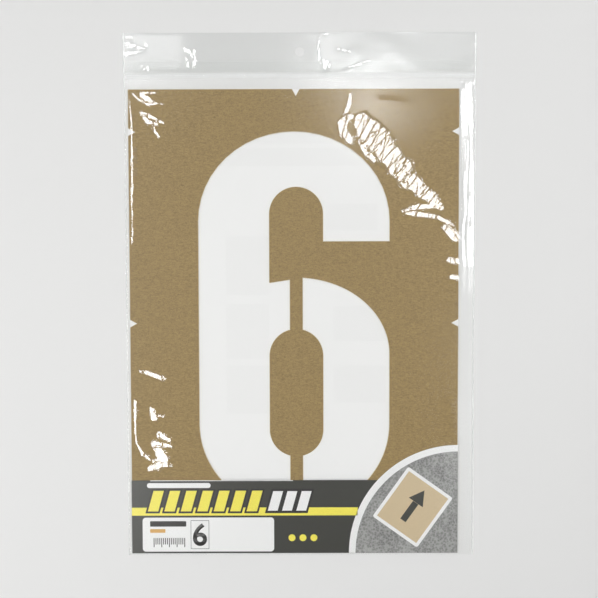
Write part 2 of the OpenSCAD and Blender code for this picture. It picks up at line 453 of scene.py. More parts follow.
def fold(x, y, path, width, height, sharp):
    """Height of a fold that runs along a path and dies away at its ends."""
    away, place = near_path(x, y, path)
    fading = step(0.0, FADING, place) * step(1.0, 1.0 - FADING, place)
    return height * fading * np.exp(-(away / width) ** sharp)


# Number of waves in a ragged border, and the range of their runs in millimetres
RAGGED_WAVES = 4
RAGGED_RUNS = (0.9, 2.6)


def ragged(x, y, seed):
    """Uneven value from -1 to 1 that varies over a few millimetres."""
    chance = np.random.default_rng(seed)
    total = np.zeros(x.shape)
    for _ in range(RAGGED_WAVES):
        angle, phase = chance.uniform(0.0, 2.0 * math.pi, 2)
        run = chance.uniform(*RAGGED_RUNS)
        total += np.sin((x * math.cos(angle) + y * math.sin(angle)) / run + phase)
    return total / RAGGED_WAVES


# Share of a zone's half width that is fully pleated, and how ragged its border is
ZONE_CORE = 0.76
RAGGEDNESS = 0.22


def zone(x, y, path, widths, seed):
    """Mask of the film beside a path, with a ragged border and a half width at each point."""
    away, place = near_path(x, y, path)
    runs = np.diff(np.array(path, float), axis=0)
    shares = np.concatenate([[0.0], np.cumsum(np.hypot(runs[:, 0], runs[:, 1]))])
    width = np.interp(place, shares / shares[-1], widths)
    return step(width, ZONE_CORE * width, away * (1.0 + RAGGEDNESS * ragged(x, y, seed)))


# Run of a pleat's short flank, and how far the pleats reach, in millimetres
SHORT_FLANK = 0.5
REACH = 400.0
# Bends of a crease and their depth, ranges of the pleats' spacing and steepness, and how much and
# how far along it a pleat swells: lengths are multiples of the pleats' run
BENDS = (1.1, 2.3, 4.1)
BEND_DEPTH = 0.2
SPACING = (0.4, 1.7)
STEEPNESS = (0.88, 1.12)
SWELL = 0.1
SWELL_RUN = 1.7
# Places of the eye and of the lamps that the film mirrors, in metres
EYE = (-0.0003, 0.0132, 0.5263)
GLINT = (0.95, 0.28, 1.25)


def mirror_slope(x, y, turn):
    """Slope at which film that falls in a direction mirrors the lamp on that side to the eye."""
    spots = np.stack([x * MM, y * MM, np.zeros(x.shape)], axis=-1)
    lamp = (math.copysign(GLINT[0], math.cos(turn)), *GLINT[1:])
    half = np.zeros(spots.shape)
    for place in (EYE, lamp):
        seen = np.array(place) - spots
        half += seen / np.linalg.norm(seen, axis=-1, keepdims=True)
    return half[..., 0] / (half[..., 2] * math.cos(turn))


def pleats(x, y, run, turn, seed):
    """Uneven pleats whose long flanks fall at a slope of about one in the given direction."""
    chance = np.random.default_rng(seed)
    across = x * math.cos(turn) + y * math.sin(turn)
    beside = y * math.cos(turn) - x * math.sin(turn)
    bent = across
    for wave in BENDS:
        phase = chance.uniform(0, 2 * math.pi)
        bent = bent + BEND_DEPTH * run * np.sin(beside / (wave * run) + phase)
    count = int(2.4 * REACH / run)
    creases = np.cumsum(run * chance.uniform(*SPACING, count)) - REACH
    steep = chance.uniform(*STEEPNESS, count)
    phases = chance.uniform(0, 2 * math.pi, count)
    index = np.clip(np.searchsorted(creases, bent, side="right"), 1, count - 1)
    span = creases[index] - creases[index - 1]
    place = np.clip(bent - creases[index - 1], 0.0, span)
    tent = np.minimum(place * (span - SHORT_FLANK) / SHORT_FLANK, span - place)
    swell = 1.0 + SWELL * np.sin(beside / (SWELL_RUN * run) + phases[index])
    return tent * steep[index] * swell


# Height that no pleat exceeds, in millimetres
TALLEST = 4.0


def facets(x, y, run, turn, spread, seed):
    """Crushed film: the upper one of two sets of pleats that fall to either side of a direction."""
    first = mirror_slope(x, y, turn - spread) * pleats(x, y, run, turn - spread, seed)
    second = mirror_slope(x, y, turn + spread) * pleats(x, y, run, turn + spread, seed + 100)
    return np.maximum(first, second)


# Wrinkles of the front film, in millimetres
# Each fold has its path, half width, height and sharpness
FRONT_FOLDS = (
    (((67, 180), (73, 178), (78, 178.4), (85, 178), (92, 176), (99, 175)), 0.9, 0.15, 1.4),
    (((92, 77), (104, 78), (121, 72), (134, 64), (139, 54)), 5.0, 0.6, 1.6),
    (((134, -88), (140, -110), (140, -132)), 8.0, 0.35, 2.0),
)
# Each pleated zone has its path, half widths, run, direction in which the long flanks fall in
# radians, how far the two sets of pleats spread from it, and its seed
FRONT_PLEATS = (
    (((56, 156), (63, 147), (72, 138)), (10, 14, 13), 5.5, -0.35, 0.3, 9),
    (((72, 138), (80, 126), (91, 114)), (13, 11.5, 11), 5.5, -0.5, 0.3, 32),
    (((91, 114), (98, 104), (109, 95), (119, 87), (127, 80)), (11, 9.5, 6.5, 6.5, 3), 5.5, -0.4, 0.3,
     4),
    (((43, 161), (38, 155), (39, 149), (44, 141)), (4, 5, 5, 4.5), 9.0, -0.2, 0.15, 13),
    (((43, 161), (62, 160)), (3.0, 3.0), 8.0, -0.2, 0.2, 40),
    (((45, 181), (44, 172), (40, 160)), (1.8, 2.4, 3.0), 9.0, -0.1, 0.05, 1),
    (((54, 139), (57, 134), (61, 128), (67, 122)), (3, 4, 4, 3), 7.0, -0.4, 0.2, 38),
    (((92, 77), (101, 80), (112, 81), (119, 81)), (1.8, 3.2, 3, 1.8), 9.0, -0.2, 0.2, 16),
    (((95, 76), (108, 74), (121, 72), (131, 68), (137, 63)), (2.8, 2.8, 2.4, 2.6, 2.8), 10.0, -0.3,
     0.2, 33),
    (((131, 62), (138, 54)), (4.5, 5.5), 7.0, 0.0, 0.4, 11),
    (((134, 33), (141, 32)), (2.8, 2.8), 7.0, 0.1, 0.3, 17),
    (((136, 18), (141, 17)), (2.4, 2.4), 7.0, 0.1, 0.3, 34),
    (((-149, 182), (-143, 176), (-135, 173), (-122, 173)), (1.2, 1.6, 1.6, 0.9), 9.0, 3.0, 0.05, 30),
    (((-141, 181), (-136, 177), (-131, 175)), (2.2, 3.4, 1.6), 9.0, 3.0, 0.1, 36),
    (((-141, 182.5), (-128, 183)), (1.4, 0.9), 9.0, 3.0, 0.0, 14),
    (((-141, 165), (-133, 162), (-122, 156)), (2.0, 1.8, 1.6), 9.0, 2.9, 0.05, 23),
    (((-139, 162), (-136, 157), (-128, 155)), (2.0, 2.4, 1.8), 9.0, 2.9, 0.1, 37),
    (((-132, 153), (-126, 144)), (1.0, 1.6), 7.0, 3.1, 0.1, 10),
    (((-145, -66), (-135, -69), (-124.5, -73)), (1.2, 2.4, 2.8), 16.0, 3.4, 0.02, 25),
    (((-152, 176), (-150.5, 160), (-150.3, 120), (-150.8, 80), (-151, 48)),
     (0.7, 0.9, 1.1, 0.9, 0.6), 7.0, 3.1, 0.05, 2),
    (((-150, -93), (-149.5, -103), (-150, -118), (-149, -132), (-143, -142), (-134, -149)),
     (0.8, 1.7, 0.8, 1.1, 2.4, 1.4), 12.0, 3.1, 0.05, 9),
    (((-135, -101), (-132.5, -109)), (1.8, 3.8), 12.0, 3.3, 0.1, 23),
    (((-128.5, -107), (-123, -108)), (1.2, 0.8), 12.0, 3.3, 0.05, 23),
    (((-127, -125), (-119, -129)), (3.4, 2.6), 12.0, 3.3, 0.1, 21),
    (((-132, -133), (-117, -135)), (3.6, 1.8), 12.0, 3.3, 0.1, 33),
    (((-129, -138), (-125, -147), (-129, -153)), (4.2, 6.8, 5.2), 12.0, 3.2, 0.15, 19),
    (((-137, -156), (-126, -151), (-117, -153)), (2.6, 3.6, 1.0), 12.0, 3.2, 0.1, 37),
)
# Height of the ripples in the slack right margin, their runs across it, and where they start
MARGIN_RIPPLE = 0.13
MARGIN_RUNS = (0.8, 1.15)
RIPPLES_FROM = (-5.0, 30.0)
# How crushed the pleated zones and the slack right margin are, and where the margin is so
PLEATS_CRUSHED = 0.8
MARGIN_CRUSHED = 0.5
CRUSHED_ACROSS = (144, 148)
CRUSHED_UP = (10, 60)


def flat_grid(columns, rows, low, high):
    """Flat grid of faces between two corners, in metres."""
    bm = bmesh.new()
    bmesh.ops.create_grid(bm, x_segments=columns, y_segments=rows, size=0.5)
    fit = (Matrix.Translation(((low[0] + high[0]) / 2, (low[1] + high[1]) / 2, 0))
           @ Matrix.Diagonal((high[0] - low[0], high[1] - low[1], 1, 1)))
    bmesh.ops.transform(bm, matrix=fit, verts=bm.verts[:])
    return bm


def refined_sheet(name, low, high, pitch, levels, film):
    """Flat sheet whose grid is made finer in steps: each has where, and the cuts in an edge."""
    bm = flat_grid(round((high.x - low.x) / pitch), round((high.y - low.y) / pitch), low, high)
    for busy, cuts in levels:
        bm.verts.index_update()
        spots = np.array([v.co[:2] for v in bm.verts]) / MM
        lively = busy(spots[:, 0], spots[:, 1])
        edges = [e for e in bm.edges if lively[e.verts[0].index] and lively[e.verts[1].index]]
        bmesh.ops.subdivide_edges(bm, edges=edges, cuts=cuts, use_grid_fill=True)
    face_up(bm)
    return mesh_object(name, bm, film)


# Film bent more sharply than this shows a crease
CREASE_ANGLE = math.radians(16)


def crease_film(mesh):
    """Keeps the shading apart at sharp bends and along the film's borders."""
    mesh.set_sharp_from_angle(angle=CREASE_ANGLE)
    sides = np.empty(len(mesh.loops), np.int32)
    mesh.loops.foreach_get("edge_index", sides)
    sharp = np.empty(len(mesh.edges), bool)
    mesh.edges.foreach_get("use_edge_sharp", sharp)
    sharp |= np.bincount(sides, minlength=len(sharp)) == 1
    mesh.edges.foreach_set("use_edge_sharp", sharp)


# How crushed a film is where its finish changes
CRUSHED = 0.15


def shape_film(made, height, crinkle):
    """Lifts a film to its height at every place, and stores how crushed it is there."""
    spots = np.empty(len(made.data.vertices) * 3)
    made.data.vertices.foreach_get("co", spots)
    spots = spots.reshape(-1, 3)
    x = spots[:, 0] / MM
    y = spots[:, 1] / MM
    spots[:, 2] = height(x, y) * MM
    made.data.vertices.foreach_set("co", spots.ravel())
    kept = made.data.attributes.new("crinkle", "FLOAT", "POINT")
    kept.data.foreach_set("value", np.broadcast_to(crinkle(x, y), x.shape).astype(np.float32))
    made.data.update()
    shade_smooth(made)
    crease_film(made.data)


def crush_film(made, crushed):
    """Gives the crushed faces of a film their own finish."""
    mesh = made.data
    mesh.materials.append(crushed)
    amount = np.empty(len(mesh.vertices))
    mesh.attributes["crinkle"].data.foreach_get("value", amount)
    corners = np.empty(len(mesh.loops), int)
    mesh.loops.foreach_get("vertex_index", corners)
    starts = np.empty(len(mesh.polygons), int)
    mesh.polygons.foreach_get("loop_start", starts)
    most = np.maximum.reduceat(amount[corners], starts)
    mesh.polygons.foreach_set("material_index", (most > CRUSHED).astype(int))


def millimetres(low, high):
    """Two corners in millimetres."""
    return tuple(v / MM for v in low), tuple(v / MM for v in high)


# How far beyond the card's right and left edges the film turns down, in millimetres
EDGE_BEND = 0.5
LEFT_ROOM = 0.15
# Heights of the right margin as shares of the card's: where it lies slack, and where it is sunk
SLACK = 0.5
SUNK = 0.2
# Shares of the margin's width: over which sunk film falls to the seam, and over which slack film
# stays level
SUNK_FALL = 0.1
SLACK_LEVEL = 0.4
# Where the right margin starts to be slack, and where it is so fully, up the bag
SLACK_FROM = (-5.0, 25.0)


def pocket_level(x, y):
    """Height of the unwrinkled front film, which falls to the seams and the bottom fold."""
    low, high = millimetres(POCKET_LOW, POCKET_HIGH)
    card_low, card_high = millimetres(CARD_LOW, CARD_HIGH)
    flat = FRONT_LEVEL / MM
    seam = high[2]
    left = seam + (flat - seam) * np.clip((x - low[0]) / (card_low[0] - LEFT_ROOM - low[0]), 0, 1)
    outward = np.clip((x - card_high[0] - EDGE_BEND) / (high[0] - card_high[0] - EDGE_BEND), 0, 1)
    sunk = SUNK * np.clip((1.0 - outward) / SUNK_FALL, 0, 1)
    slack = SLACK - SLACK * np.clip((outward - SLACK_LEVEL) / (1.0 - SLACK_LEVEL), 0, 1)
    lively = step(*SLACK_FROM, y)
    beside = sunk + (slack - sunk) * lively
    right = seam + (flat - seam) * np.where(outward > 0.0, beside, 1.0)
    bottom = seam + (flat - seam) * step(low[1] + 0.3, card_low[1], y)
    sides = np.minimum(np.minimum(left, right), bottom)
    raised = step(card_high[1] - 2, high[1], y)
    return sides + (flat - sides) * raised


def pleated(x, y, zones):
    """Height of the pleated and crushed zones, shared where they overlap."""
    total = np.zeros(x.shape)
    weight = np.zeros(x.shape)
    for path, widths, run, turn, spread, seed in zones:
        mask = zone(x, y, path, widths, seed)
        folded = facets(x, y, run, turn, spread, seed)
        lowest = np.min(folded, where=mask > 0.0, initial=np.max(folded))
        total += mask * np.minimum(folded - lowest, TALLEST)
        weight += mask
    return total / np.maximum(weight, 1.0)


def busy_zones(x, y, zones, most):
    """How crushed the film is in its pleated zones, from 0 to the most given."""
    near = np.zeros(x.shape)
    for path, widths, *_, seed in zones:
        near = np.maximum(near, zone(x, y, path, widths, seed))
    return most * near


def front_wrinkles(x, y, strength):
    """Height of the wrinkles of the front film above its level."""
    low, high = millimetres(POCKET_LOW, POCKET_HIGH)
    # Slow swells that keep the slack film off the card
    total = 0.12 + 0.10 * np.sin(x / 31 + 0.6) * np.sin(y / 43 + 1.1)
    total += 0.05 * np.sin(x / 17 - y / 23)
    for path, width, height, sharp in FRONT_FOLDS:
        total += fold(x, y, path, width, height, sharp)
    total += pleated(x, y, FRONT_PLEATS)
    # Ripples along the slack right margin
    across = (x - CARD_HIGH.x / MM) / (high[0] - CARD_HIGH.x / MM)
    slack = step(0.05, 0.3, across) * step(1.0, 0.8, across)
    lively = step(*RIPPLES_FROM, y)
    for run in MARGIN_RUNS:
        drift = 1.4 * np.sin(y / (31 * run)) + 0.9 * np.sin(y / (11 * run) + 2.0)
        total += slack * lively * MARGIN_RIPPLE * np.sin(x / run + drift)
    # The film is held flat along the seams, the bottom fold and the weld
    edges = step(low[0], low[0] + 1.5, x) * step(high[0], high[0] - 1.0, x)
    ends = step(low[1] + 1.0, low[1] + 4.0, y) * step(high[1], high[1] - 6.0, y)
    return strength * total * edges * ends


def front_crinkle(x, y):
    """How crushed the front film is, from 0 to 1."""
    return np.maximum(busy_zones(x, y, FRONT_PLEATS, PLEATS_CRUSHED),
                      MARGIN_CRUSHED * step(*CRUSHED_ACROSS, x) * step(*CRUSHED_UP, y))


# How far a zone and a fold shape the film, as multiples of their half widths
ZONE_SPREAD = 1.3
FOLD_SPREAD = 1.6
# Margins of the fine and the finest grid round them, and of the fine grid along the card's edges
FINE_MARGIN = 3.0
FINEST_MARGIN = 0.6
EDGE_MARGIN = 2


def front_pleats(x, y, margin):
    """Where the front film is pleated or creased, with a margin around it."""
    near = np.zeros(x.shape, bool)
    for path, widths, *_ in FRONT_PLEATS:
        near |= near_path(x, y, path)[0] < ZONE_SPREAD * max(widths) + margin
    for path, width, *_ in FRONT_FOLDS:
        near |= near_path(x, y, path)[0] < FOLD_SPREAD * width + margin
    return near


def front_busy(x, y):
    """Where the front film needs a finer grid."""
    card_low, card_high = millimetres(CARD_LOW, CARD_HIGH)
    sides = (x < card_low[0] + EDGE_MARGIN) | (x > card_high[0] - EDGE_MARGIN)
    return front_pleats(x, y, FINE_MARGIN) | sides | (y < card_low[1] + EDGE_MARGIN)


def front_finest(x, y):
    """Where the front film needs the finest grid."""
    return front_pleats(x, y, FINEST_MARGIN)


# Rise of the header's wrinkles away from its hinge that still lets it fold right over
FOLD_ROOM = 0.5
# How crushed the header's pleats are, and where its wrinkles begin and are full round the hang hole
HEADER_CRUSHED = 0.5
HOLE_FLAT = (5.0, 14.0)

# Wrinkles of the header, told in the same way
HEADER_FOLDS = (
    (((-100, 190), (-101, 246)), 26.0, 1.3, 2.0),
    (((50, 206), (72, 212), (84, 222), (66, 232)), 8.0, 0.22, 1.8),
    (((44, 222), (56, 219)), 3.0, 0.3, 1.6),
)
HEADER_PLEATS = (
    (((-154.5, 232), (-149, 231.5)), (1.3, 1.1), 6.0, 3.0, 0.1, 7),
    (((-153, 226.5), (-150, 225), (-145, 224), (-138, 221.5)), (2.2, 2.4, 1.6, 1.1), 6.0, 2.9, 0.2, 8),
    (((-136.5, 226), (-136, 224.5)), (1.2, 1.0), 6.0, 3.0, 0.1, 9),
    (((-154, 217.5), (-147, 219), (-140, 219.5)), (2.2, 2.2, 1.2), 6.0, 2.9, 0.2, 4),
    (((-141, 207), (-139.3, 204)), (1.4, 1.7), 4.0, 3.0, 0.1, 6),
    (((-135.5, 205), (-134.5, 203.8)), (1.3, 1.4), 4.0, 3.0, 0.1, 5),
    (((16.8, 232), (17, 222), (17.6, 211)), (1.0, 1.5, 1.5), 7.0, -0.15, 0.06, 32),
    (((20, 211), (25, 208), (24, 203)), (2.2, 3.4, 3.8), 4.0, -0.15, 0.2, 34),
    (((19.5, 233), (25, 233.3)), (1.3, 1.1), 7.0, -0.15, 0.06, 35),
    (((-101.5, 222), (-101, 219.5)), (1.3, 1.2), 8.0, 3.1, 0.0, 30),
    (((-100.6, 213), (-98.2, 203.5)), (1.0, 1.2), 4.0, 3.1, 0.0, 31),
    (((-93.3, 220), (-92.9, 211.5), (-94, 207), (-96, 203.8)), (1.0, 1.0, 1.1, 1.1), 4.0, 3.1, 0.0,
     7),
    (((-98.5, 220), (-95.2, 213)), (1.5, 1.0), 8.0, 3.1, 0.0, 33),
    (((34, 221), (44, 219)), (1.2, 1.8), 4.5, -0.7, 0.05, 7),
    (((39, 203), (51, 207), (62, 211)), (0.8, 1.6, 0.8), 4.5, -0.7, 0.05, 23),
)


def header_wrinkles(x, y, strength):
    """Height of the wrinkles of the header's front ply."""
    # Slow swells over the whole ply, and waves in its right part
    total = 0.10 + 0.06 * np.sin(x / 19) + 0.05 * np.sin(x / 11 + y / 17)
    total += 0.12 * step(10.0, 40.0, x) * np.sin(y / 5.5 + 1.6 * np.sin(x / 15.0))
    for path, width, height, sharp in HEADER_FOLDS:
        total += fold(x, y, path, width, height, sharp)
    total += pleated(x, y, HEADER_PLEATS)
    low, high = millimetres(PLY_LOW, PLY_HIGH)
    # The ply is held flat along the weld, its upper edge and the hang hole
    held = step(low[1], low[1] + 3, y) * step(high[1], high[1] - 2, y)
    held *= step(*HOLE_FLAT, np.hypot(x - HOLE_X / MM, y - HOLE_Y / MM))
    return np.minimum(strength * total * held, FOLD_ROOM * np.maximum(y - low[1] - 0.2, 0.0))


def header_crinkle(x, y):
    """How crushed the header is, from 0 to 1."""
    return busy_zones(x, y, HEADER_PLEATS, HEADER_CRUSHED)


# Points of a layer of ink closer than this are merged, in metres
MERGE = 1e-7


def ink_object(name, bm, ink, thickness):
    """Layer of ink on the insert."""
    face_up(bm)
    made = mesh_object(name, bm, ink)
    thicken(made, thickness)
    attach(made, "insert")


def add_bar(bm, centre, size, level, slant=0.0, turn=0.0, corner=0.0):
    """Rectangle in a layer of ink, in millimetres, which may lean, turn or have round corners."""
    made = bmesh.ops.create_grid(bm, x_segments=1, y_segments=1, size=0.5)
    lean = Matrix.Identity(4)
    lean[0][1] = slant
    place = (Matrix.Translation((centre[0] * MM, centre[1] * MM, level))
             @ Matrix.Rotation(turn, 4, "Z") @ lean
             @ Matrix.Diagonal((size[0] * MM, size[1] * MM, 1, 1)))
    bmesh.ops.transform(bm, matrix=place, verts=made["verts"])
    if corner:
        bmesh.ops.bevel(bm, geom=made["verts"], affect="VERTICES", offset=corner * MM,
                        offset_type="OFFSET", segments=6, profile=0.5, material=-1)


def add_disc(bm, centre, radius, level, sides, turn=0.0):
    """Disc or polygon in a layer of ink, in millimetres."""
    made = bmesh.ops.create_circle(bm, cap_ends=True, segments=sides, radius=radius * MM)
    place = Matrix.Translation((centre[0] * MM, centre[1] * MM, level))
    bmesh.ops.transform(bm, matrix=place @ Matrix.Rotation(turn, 4, "Z"), verts=made["verts"])


def add_sector(bm, centre, inner, outer, start, sweep, level):
    """Part of a ring in a layer of ink, in millimetres and degrees."""
    ends = []
    for radius in (inner, outer):
        ends.append(bm.verts.new((
            (centre[0] + radius * math.cos(math.radians(start))) * MM,
            (centre[1] + radius * math.sin(math.radians(start))) * MM, level)))
    rim = bm.edges.new(ends)
    bmesh.ops.spin(bm, geom=[rim, *ends], cent=(centre[0] * MM, centre[1] * MM, level),
                   axis=(0, 0, 1), angle=math.radians(sweep), steps=48)
    bmesh.ops.remove_doubles(bm, verts=bm.verts[:], dist=MERGE)


def face_up(bm):
    """Turns every face of a flat layer to the front."""
    bm.normal_update()
    bmesh.ops.reverse_faces(bm, faces=[f for f in bm.faces if f.normal.z < 0])


# Points of the card's solid closer than this are merged, in metres, and faces that meet at a
# smaller angle than this are joined
SOLID_MERGE = 1e-6
SOLID_FLAT = math.radians(0.2)


class STENCIL_OT_card(bpy.types.Operator):
    """Kraft card with its die-cut numeral, as the card's solid with rounded cut edges whose pale cream
    colour is a painted highlight
    """
    bl_idname = "stencil.card"
    bl_label = "Kraft card"

    def execute(self, context):
        settings = context.scene.stencil_card
        kraft = pulp_material("Kraft card", settings.kraft, settings.dark_fibre,
                              strength=settings.mottle, roughness=0.72, grain=900.0)
        # Pale cream on every cut edge: a painted highlight along the die-cut edges
        cut = pulp_material("Cut kraft edge with painted highlight", settings.cut, settings.kraft,
                            strength=0.25, roughness=0.85, grain=2500.0)
        bm = bmesh.new()
        bm.from_mesh(frame["nodes"]["stencil_card"].data)
        bmesh.ops.remove_doubles(bm, verts=bm.verts[:], dist=SOLID_MERGE)
        bmesh.ops.dissolve_limit(bm, angle_limit=SOLID_FLAT, verts=bm.verts[:], edges=bm.edges[:])
        for face in bm.faces:
            face.material_index = 0 if abs(face.normal.z) > 0.5 else 1
        rims = [e for e in bm.edges if len(e.link_faces) == 2
                and e.link_faces[0].material_index != e.link_faces[1].material_index]
        rounded = bmesh.ops.bevel(bm, geom=rims, affect="EDGES", offset=settings.edge,
                                  offset_type="OFFSET", segments=2, profile=0.5, material=-1)
        for face in rounded["faces"]:
            face.material_index = 1
        card = mesh_object("kraft_card", bm, kraft, cut)
        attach(card, "stencil")
        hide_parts("stencil_card")
        return {"FINISHED"}


# Print on the back of the insert: left, right, bottom and top of each box, in millimetres
BACK_BOXES = (
    (-67, -28, 2, 55), (-67, -28, -56, -6), (-67, -28, -106, -62), (-100, 60, 118, 134),
    (-100, 95, 138, 152), (24, 70, 60, 84), (30, 78, -40, -8), (30, 78, -96, -62),
)


class STENCIL_OT_insert(bpy.types.Operator):
    """Paper of the printed insert, with the print on its back showing faintly through"""
    bl_idname = "stencil.insert"
    bl_label = "Insert paper"

    def execute(self, context):
        settings = context.scene.stencil_paper
        boxes = [[side * MM for side in box] for box in BACK_BOXES]
        paper = pulp_material("Insert paper", settings.white, settings.shadow,
                              strength=0.10, roughness=0.65, grain=1600.0, boxes=boxes)
        refinish("insert_back_sheet", paper)
        dark = ink_material("Dark ink", settings.dark)
        for node in ("front_label", "insert_fold"):
            refinish(node, dark)
        return {"FINISHED"}


# Print on the label, in millimetres
# Each bar has its middle, told from the label's lower left corner, and its size
STRIPE = ((103, 38.3), (206, 7.4))
PANEL = ((69.7, 17.1), (120, 31.4))
TOP_BAR = ((43, 62.3), (58, 4.6))
TOP_LINE = ((82, 66.7), (130, 0.6))
PANEL_BAR = ((33, 27), (33, 5))
TAG = ((23.5, 20.5), (14, 3.4))
# Slanted blocks: their places along the label, their height on it, their lean and their sizes
YELLOW_BLOCKS = (22, 37, 52, 67, 82, 97, 112)
WHITE_BLOCKS = (131, 144, 157)
BLOCKS_UP = 48
LEAN = 0.28
YELLOW_SIZE = (9.5, 19)
WHITE_SIZE = (9.0, 18)
SHADE_SIZE = (13, 22.5)
# Dots: their places along the label, their height on it and their radius
DOTS = (146, 156, 166)
DOTS_UP = 14
DOT_RADIUS = 3.2
# Plain scale: its first tick, its top, its pitch, the count and width of its ticks, their lengths,
# and how many ticks there are to a long one
SCALE_START = 20
SCALE_TOP = 14
TICK_PITCH = 1.75
TICKS = 17
TICK_WIDTH = 0.8
LONG_TICK = 8.5
SHORT_TICK = 6.0
LONG_EVERY = 4
# Numeral: its middle, its size and how much bolder it is drawn, and half its box and the box's line
NUMERAL = (62, 17)
NUMERAL_SIZE = 28
NUMERAL_BOLD = 0.55
NUMERAL_BOX = (8.2, 13)
BOX_LINE = 0.4
# Round picture, told from the lower right corner: radii of the road and its rim, the printed card
# with its face and its turn in radians, and the arrow on it
ROAD_RADIUS = 93
RIM_RADIUS = 99
PRINTED_CARD = ((-41, 42), (50, 56))
CARD_FACE = ((-41, 42), (44, 50))
CARD_TURN = -0.62
ARROW_SHAFT = ((-44, 38), (6, 20))
ARROW_HEAD = (-35.5, 50)
ARROW_RADIUS = 9


def told_from(corner, place):
    """Place of a point that is told from a corner."""
    return corner[0] + place[0], corner[1] + place[1]


class STENCIL_OT_label(bpy.types.Operator):
    """Print on the label: stripe, rim, panel, plain numeral, bars, and a round picture of a road"""
    bl_idname = "stencil.label"
    bl_label = "Label print"

    def execute(self, context):
        settings = context.scene.stencil_paper
        layer = settings.ink
        low, high = millimetres(LABEL_LOW, LABEL_HIGH)
        corner = low[:2]
        right_corner = (high[0], low[1])
        base = LABEL_HIGH.z + layer
        white = ink_material("White ink", settings.white, variation=0.02)
        yellow = ink_material("Yellow ink", settings.yellow, variation=0.05)
        black = ink_material("Black ink", settings.black)
        orange = ink_material("Orange ink", settings.orange, variation=0.06)
        tan = ink_material("Tan ink", settings.tan, variation=0.06)

        def bar(bm, told, level, start=corner, **shape):
            """Bar whose middle is told from a corner of the label."""
            add_bar(bm, told_from(start, told[0]), told[1], level, **shape)

        def blocks(bm, places, size, level):
            """Row of slanted blocks."""
            for place in places:
                bar(bm, ((place, BLOCKS_UP), size), level, slant=LEAN)

        bm = bmesh.new()
        bar(bm, STRIPE, base)
        blocks(bm, YELLOW_BLOCKS, YELLOW_SIZE, base + 2 * layer)
        for place in DOTS:
            add_disc(bm, told_from(corner, (place, DOTS_UP)), DOT_RADIUS, base, sides=24)
        ink_object("label_yellow", bm, yellow, layer)

        bm = bmesh.new()
        bar(bm, PANEL, base, corner=3)
        bar(bm, TOP_BAR, base, corner=2.2)
        bar(bm, TOP_LINE, base)
        blocks(bm, WHITE_BLOCKS, WHITE_SIZE, base + 2 * layer)
        bar(bm, PRINTED_CARD, base + layer, right_corner, turn=CARD_TURN, corner=2)
        add_sector(bm, right_corner, ROAD_RADIUS, RIM_RADIUS, start=90, sweep=90, level=base)
        ink_object("label_white", bm, white, layer)

        bm = bmesh.new()
        add_sector(bm, right_corner, 0, ROAD_RADIUS, start=90, sweep=90, level=base)
        ink_object("label_road", bm, road_material(settings.asphalt), layer)

        bm = bmesh.new()
        bar(bm, CARD_FACE, base + 2 * layer, right_corner, turn=CARD_TURN)
        ink_object("label_card", bm, tan, layer)

        bm = bmesh.new()
        bar(bm, ARROW_SHAFT, base + 3 * layer, right_corner, turn=CARD_TURN)
        add_disc(bm, told_from(right_corner, ARROW_HEAD), ARROW_RADIUS, base + 3 * layer,
                 sides=3, turn=CARD_TURN)
        ink_object("label_arrow", bm, ink_material("Arrow ink", settings.dark), layer)

        bm = bmesh.new()
        bar(bm, PANEL_BAR, base + layer, corner=0.8)
        for tick in range(TICKS):
            tall = SHORT_TICK if tick % LONG_EVERY else LONG_TICK
            place = (SCALE_START + tick * TICK_PITCH, SCALE_TOP - tall / 2)
            bar(bm, (place, (TICK_WIDTH, tall)), base + layer)
        blocks(bm, YELLOW_BLOCKS + WHITE_BLOCKS, SHADE_SIZE, base + layer)
        across, up = NUMERAL_BOX
        for side in (-1, 1):
            bar(bm, ((NUMERAL[0] + side * across, NUMERAL[1]), (BOX_LINE, 2 * up)), base + layer)
            bar(bm, ((NUMERAL[0], NUMERAL[1] + side * up), (2 * across + BOX_LINE, BOX_LINE)),
                base + layer)
        ink_object("label_black", bm, black, layer)

        bm = bmesh.new()
        bar(bm, TAG, base + layer, corner=0.6)
        ink_object("label_orange", bm, orange, layer)

        self.numeral(black, base + layer, told_from(corner, NUMERAL), layer)
        return {"FINISHED"}

    def numeral(self, ink, level, centre, layer):
        """Plain numeral in its box on the panel."""
        curve = bpy.data.curves.new("label_numeral", "FONT")
        curve.body = "6"
        curve.align_x = "CENTER"
        curve.align_y = "CENTER"
        curve.size = NUMERAL_SIZE * MM
        curve.offset = NUMERAL_BOLD * MM
        written = bpy.data.objects.new("label_numeral_curve", curve)
        bpy.context.scene.collection.objects.link(written)
        bpy.context.view_layer.update()
        mesh = bpy.data.meshes.new_from_object(written.evaluated_get(
            bpy.context.evaluated_depsgraph_get()))
        bpy.data.objects.remove(written)
        bm = bmesh.new()
        bm.from_mesh(mesh)
        bpy.data.meshes.remove(mesh)
        bmesh.ops.remove_doubles(bm, verts=bm.verts[:], dist=MERGE)
        xs = [v.co.x for v in bm.verts]
        ys = [v.co.y for v in bm.verts]
        middle = Vector(((min(xs) + max(xs)) / 2, (min(ys) + max(ys)) / 2, 0))
        move = Matrix.Translation((centre[0] * MM, centre[1] * MM, level)) @ Matrix.Translation(-middle)
        bmesh.ops.transform(bm, matrix=move, verts=bm.verts[:])
        ink_object("label_numeral", bm, ink, layer)


# How crinkled the lying films, the beads and the weld are
LYING_CRINKLE = 0.05
BEAD_CRINKLE = 0.8
WELD_CRINKLE = 0.15
# Pitch of the films' and beads' grids, and width of the plain collar round the hang hole, in metres
FRONT_PITCH = 3.6 * MM
PLY_PITCH = 0.7 * MM
BACK_PLY_PITCH = 1.1 * MM
BEAD_PITCH = 0.8 * MM
HOLE_COLLAR = 1.6 * MM
# Columns and rows of the flat films, and columns of a bead
BACK_CELLS = (99, 139)
WELD_CELLS = (639, 14)
LIP_CELLS = (119, 11)
BEAD_COLUMNS = 4


